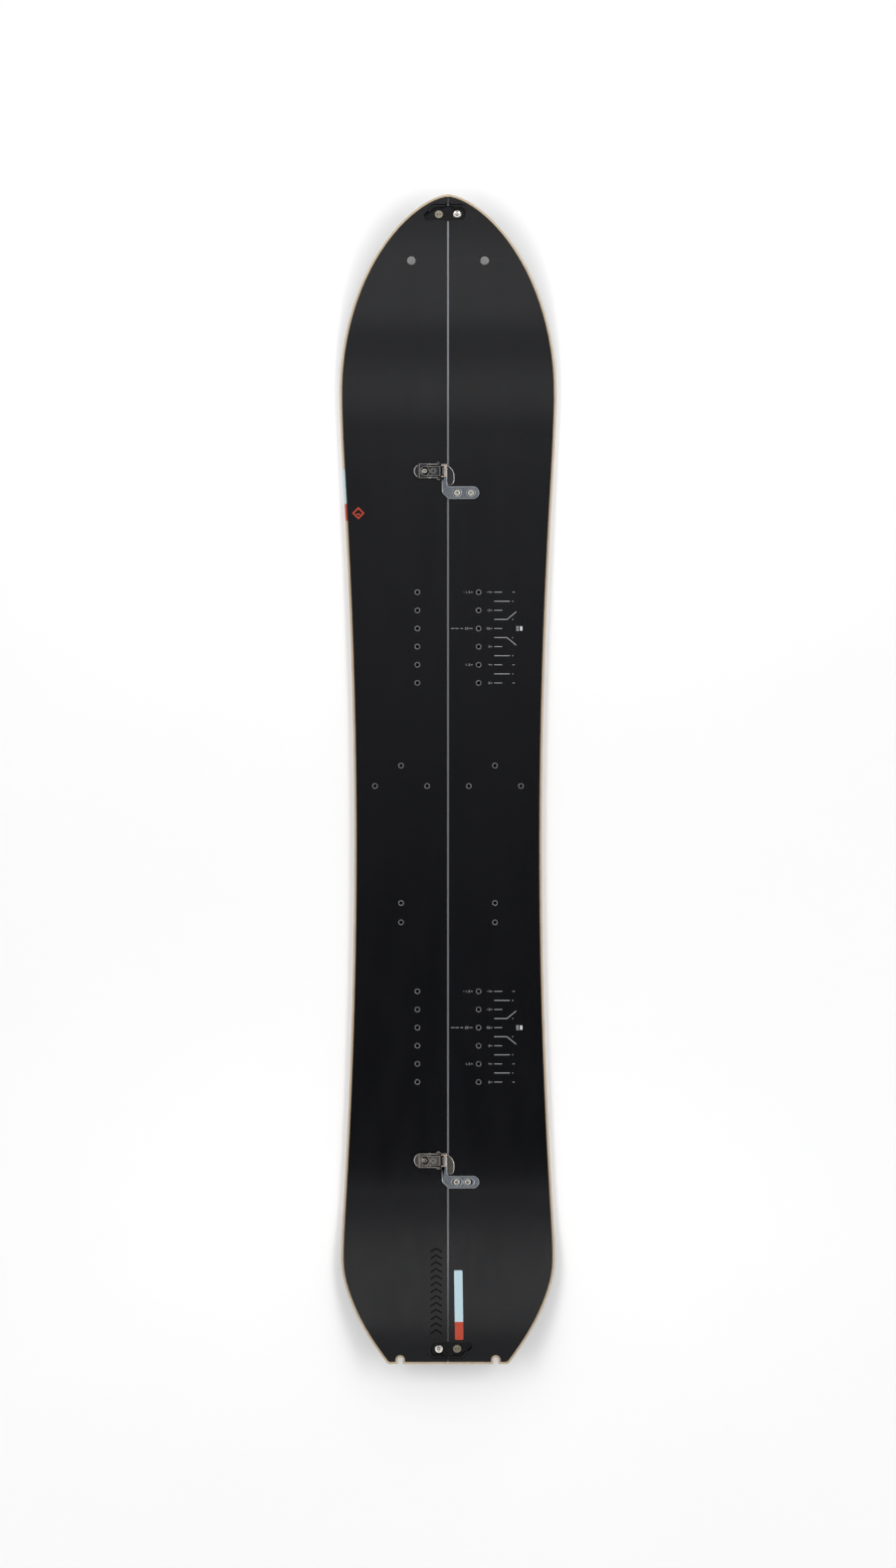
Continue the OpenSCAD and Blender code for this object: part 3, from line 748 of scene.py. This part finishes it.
def stripe_row(y):
    """The two sides of the tail stripe at a station: it leans a little, and its outer corners are round."""
    middle = STRIPE_X + STRIPE_LEAN * (STRIPE_TOP - y) / (STRIPE_TOP - STRIPE_END)
    near = min(STRIPE_TOP - y, y - STRIPE_END, STRIPE_ROUND)
    cut = STRIPE_ROUND - math.sqrt(STRIPE_ROUND**2 - (STRIPE_ROUND - near) ** 2)
    half = STRIPE_W / 2 - cut
    return [(middle + half * t, y) for t in (-1, -0.5, 0, 0.5, 1)]


def stripe_part(name, look, top, end):
    in_rounds = [0, 0.1, 0.3, 0.6, 1.0, 1.4, STRIPE_ROUND]
    count = math.ceil((STRIPE_TOP - STRIPE_END) / STRIPE_STEP)
    stations = {top, end} | {STRIPE_TOP - d for d in in_rounds} | {STRIPE_END + d for d in in_rounds}
    stations |= {STRIPE_TOP - STRIPE_STEP * i for i in range(1, count)}
    ink = Print(name, look)
    ink.rows([stripe_row(y) for y in sorted(stations) if end <= y <= top])
    ink.finish()


stripe_part("tail_stripe_blue", "blue_ink", STRIPE_TOP, STRIPE_SPLIT)
stripe_part("tail_stripe_orange", "orange_ink", STRIPE_SPLIT, STRIPE_END)


CHEVRONS = 13
CHEVRON_TOP = -655.5
CHEVRON_X = -16.5
CHEVRON_HALF = 7.9
CHEVRON_RISE = 5
CHEVRON_STEP = 9.4
CHEVRON_STROKE = 2.2


def ghost_motif():
    """Dark chevrons beside the seam, tone on tone."""
    ink = Print("tail_ghost_chevrons", "ghost_ink")
    for i in range(CHEVRONS):
        y = CHEVRON_TOP - CHEVRON_STEP * i
        foot = y - CHEVRON_RISE
        places = [(CHEVRON_X - CHEVRON_HALF, foot), (CHEVRON_X, y), (CHEVRON_X + CHEVRON_HALF, foot)]
        ink.path(places, CHEVRON_STROKE)
    ink.finish()


ghost_motif()


def rail_mark():
    """A small open diamond beside the rail."""
    ink = Print("rail_diamond", "orange_ink")
    x, y, size, stroke = -125.5, 373.6, 7.2, 1.9
    ink.path([(x, y + size), (x + size, y), (x, y - size), (x - size, y)], stroke, closed=True)
    ink.dash((x - size / 3, x + size / 3), y - 1.6, stroke)
    ink.finish()


rail_mark()


ACCENT_TOP = 435.0
ACCENT_SPLIT = 386.7
ACCENT_END = 362.7
ACCENT_STEP = 2
ACCENT_WIDTH = 3.15 * MM
ACCENT_LOW = 0.8 * MM
ROUND_MIDDLE = 0.26


def wall_section(y):
    """Points over the left sidewall at a station in metres: its top, its round and its outer face."""
    low_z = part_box("left_outer_sidewall")[0].z + ACCENT_LOW
    outer = LEFT_WALL.ray_cast(Vector((-RAY_FROM, y, low_z)), Vector((1, 0, 0)))[0].x
    on_top = Vector((outer + 2 * MM, y, RAY_FROM))
    top_z = LEFT_WALL.ray_cast(on_top, Vector((0, 0, -1)))[0].z
    cut = SIDEWALL_ROUND * MM
    middle = ROUND_MIDDLE * cut
    return [
        (outer + ACCENT_WIDTH, y, top_z + INK_LIFT), (outer + cut, y, top_z + INK_LIFT),
        (outer + middle, y, top_z - middle + INK_LIFT), (outer - INK_LIFT, y, top_z - cut),
        (outer - INK_LIFT, y, low_z),
    ]


def rail_accent(name, look, top, end):
    """A coloured skin over the left sidewall's top and outer face."""
    bm = bmesh.new()
    steps = math.ceil((top - end) / ACCENT_STEP)
    stations = [end + (top - end) * i / steps for i in range(steps + 1)]
    sections = [[bm.verts.new(place) for place in wall_section(y * MM)] for y in stations]
    for low, high in zip(sections, sections[1:]):
        for i in range(len(low) - 1):
            bm.faces.new((low[i], high[i], high[i + 1], low[i + 1]))
    bmesh.ops.recalc_face_normals(bm, faces=bm.faces)
    mesh = bpy.data.meshes.new(name)
    bm.to_mesh(mesh)
    bm.free()
    shade(mesh, 60)
    as_object(name, mesh, [look], BOARD)


rail_accent("rail_accent_blue", "blue_ink", ACCENT_TOP, ACCENT_SPLIT)
rail_accent("rail_accent_orange", "orange_ink", ACCENT_SPLIT, ACCENT_END)


# ---------------------------------------------------------------- studio

def floor():
    mesh = bpy.data.meshes.new("studio_floor")
    reach = 12.0
    z = -0.4 * MM
    corners = [(-reach, -reach, z), (reach, -reach, z), (reach, reach, z), (-reach, reach, z)]
    mesh.from_pydata(corners, [], [(0, 1, 2, 3)])
    look = Look("studio_floor", (0.92, 0.92, 0.92), 0.9, **{"Specular IOR Level": 0.1})
    look.mottle((0.93, 0.93, 0.93), 0.5)
    mesh.materials.append(look.material)
    plane = bpy.data.objects.new("studio_floor", mesh)
    bpy.context.scene.collection.objects.link(plane)


# Heights on the unit dome between which it darkens towards the top, and dims towards the horizon
DOME_TOP = (0.3, 0.9)
DOME_HORIZON = (0.4, 0.65)


def sky(overhead, sides, horizon):
    """A soft white dome, darker straight above and dimmer by the horizon."""
    world = bpy.data.worlds.new("studio_dome")
    world.use_nodes = True
    tree = world.node_tree
    background = tree.nodes["Background"]
    background.inputs["Color"].default_value = (1.0, 1.0, 1.0, 1.0)
    place = tree.nodes.new("ShaderNodeTexCoord")
    split = tree.nodes.new("ShaderNodeSeparateXYZ")
    tree.links.new(place.outputs["Generated"], split.inputs[0])
    both = tree.nodes.new("ShaderNodeMath")
    both.operation = "MULTIPLY"
    fades = ((*DOME_TOP, sides, overhead), (*DOME_HORIZON, horizon, 1.0))
    for i, (low, high, below, above) in enumerate(fades):
        fade = tree.nodes.new("ShaderNodeMapRange")
        fade.interpolation_type = "SMOOTHSTEP"
        tree.links.new(split.outputs["Z"], fade.inputs["Value"])
        for key, value in {"From Min": low, "From Max": high, "To Min": below, "To Max": above}.items():
            fade.inputs[key].default_value = value
        tree.links.new(fade.outputs["Result"], both.inputs[i])
    tree.links.new(both.outputs[0], background.inputs["Strength"])
    bpy.context.scene.world = world


def panel(name, place, aim, size, power):
    data = bpy.data.lights.new(name, "AREA")
    data.shape = "RECTANGLE"
    data.size, data.size_y = size
    data.energy = power
    light = bpy.data.objects.new(name, data)
    light.location = place
    light.rotation_euler = (Vector(aim) - Vector(place)).to_track_quat("-Z", "Y").to_euler()
    light.visible_camera = False
    bpy.context.scene.collection.objects.link(light)


def camera():
    """Far enough above for a long lens to take in the frame, whose middle is a little behind the board's."""
    lens, sensor, frame_height, middle = 180.0, 36.0, 2.197, -5.6 * MM
    data = bpy.data.cameras.new("overhead_camera")
    data.lens = lens
    data.sensor_width = sensor
    data.clip_end = 100.0
    eye = bpy.data.objects.new("overhead_camera", data)
    eye.location = (0.0, middle, frame_height * lens / sensor)
    bpy.context.scene.collection.objects.link(eye)
    bpy.context.scene.camera = eye


floor()
sky(overhead=0.02, sides=2.6, horizon=0.3)
for side, sign in SIDES.items():
    panel(f"{side}_panel", place=(5.5 * sign, 0, 6.5), aim=(0, 0, 0), size=(7.0, 3.0), power=215)
panel("nose_panel", place=(0, -3.5, 8.0), aim=(0, 0.7, 0), size=(5.0, 3.44), power=52)
panel("tail_panel", place=(0, 1.95, 9.0), aim=(0, -0.7, 0), size=(2.0, 3.7), power=22)
panel("nose_strip", place=(0, 0.744, 0.376), aim=(0, 0.743, 0), size=(1.0, 0.47), power=1.15)
panel("tail_strip", place=(0, -0.618, 0.36), aim=(0, -0.617, 0), size=(1.0, 0.045), power=0.17)
camera()
bpy.context.scene.view_settings.view_transform = "Standard"
